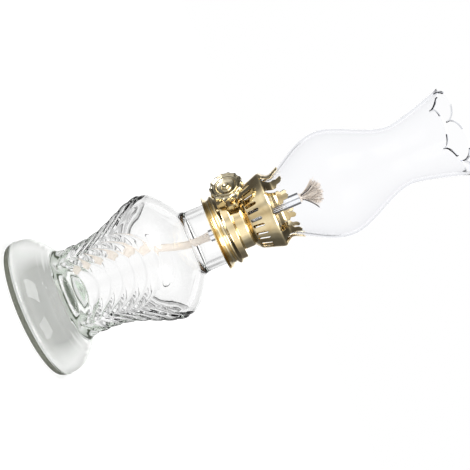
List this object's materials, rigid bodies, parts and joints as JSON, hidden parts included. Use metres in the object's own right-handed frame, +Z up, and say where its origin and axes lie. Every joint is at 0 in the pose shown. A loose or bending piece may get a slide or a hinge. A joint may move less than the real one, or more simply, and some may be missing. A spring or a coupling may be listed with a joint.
{
  "type": "kerosene lamp",
  "caption": "Small table oil lamp: ribbed glass font, screw-on brass burner with a round wick, its thumb-knob raiser and chimney prongs, and a bulbous glass chimney with a scalloped rim.",
  "frame": {"origin": "on the floor, under the middle of the foot", "axes": "+Z up along the lamp's axis, -Y towards the thumb knob, +X to the right seen from the knob"},
  "size_m": [0.0632, 0.0632, 0.2003],
  "materials": {
    "font_glass": "clear pressed glass, thick, with a slight green-grey cast in the foot",
    "chimney_glass": "clear thin blown glass",
    "brass": "bright polished brass sheet",
    "pale_brass": "pale bright brass",
    "bright_metal": "bright drawn metal",
    "cotton": "undyed cotton yarn",
    "gasket": "matt cork-rubber ring"
  },
  "bodies": {
    "font": {"glass_font": "font_glass"},
    "seal": {"neck_gasket": "gasket"},
    "burner": {"screw_collar": "brass", "burner_band": "brass", "prong_gallery": "brass", "chimney_seat": "brass", "wick_tube": "bright_metal", "tube_ferrule": "bright_metal", "raiser_bracket": "brass", "spindle_bush": "brass"},
    "raiser": {"raiser_spindle": "bright_metal", "raiser_wheel": "brass", "spindle_clip": "bright_metal", "thumb_knob": "pale_brass", "knob_rivet": "pale_brass"},
    "wick_body": {"wick": "cotton", "wick_tuft": "cotton", "wick_tail": "cotton"},
    "chimney": {"glass_chimney": "chimney_glass"}
  },
  "joints": [
    {"name": "burner_rise", "type": "slide", "parent": "font", "child": "seal", "axis": [0, 0, 1], "range_m": [0, 0.00635]},
    {"name": "burner_turn", "type": "hinge", "parent": "seal", "child": "burner", "pos_m": [0, 0, 0.0915], "axis": [0, 0, 1], "range_deg": [0, 540]},
    {"name": "knob_turn", "type": "hinge", "parent": "burner", "child": "raiser", "pos_m": [-0.0045, -0.01, 0.09955], "axis": [0, -1, 0], "range_deg": [-45, 180]},
    {"name": "wick_lift", "type": "slide", "parent": "burner", "child": "wick_body", "axis": [0, 0, 1], "range_m": [-0.002, 0.008]},
    {"name": "chimney_lift", "type": "slide", "parent": "burner", "child": "chimney", "axis": [0, 0, 1], "range_m": [0, 0.035]}
  ],
  "couplings": [
    {"joint": "burner_rise", "follows": "burner_turn", "m_per_rad": 0.0006737},
    {"joint": "wick_lift", "follows": "knob_turn", "m_per_rad": 0.0025}
  ]
}
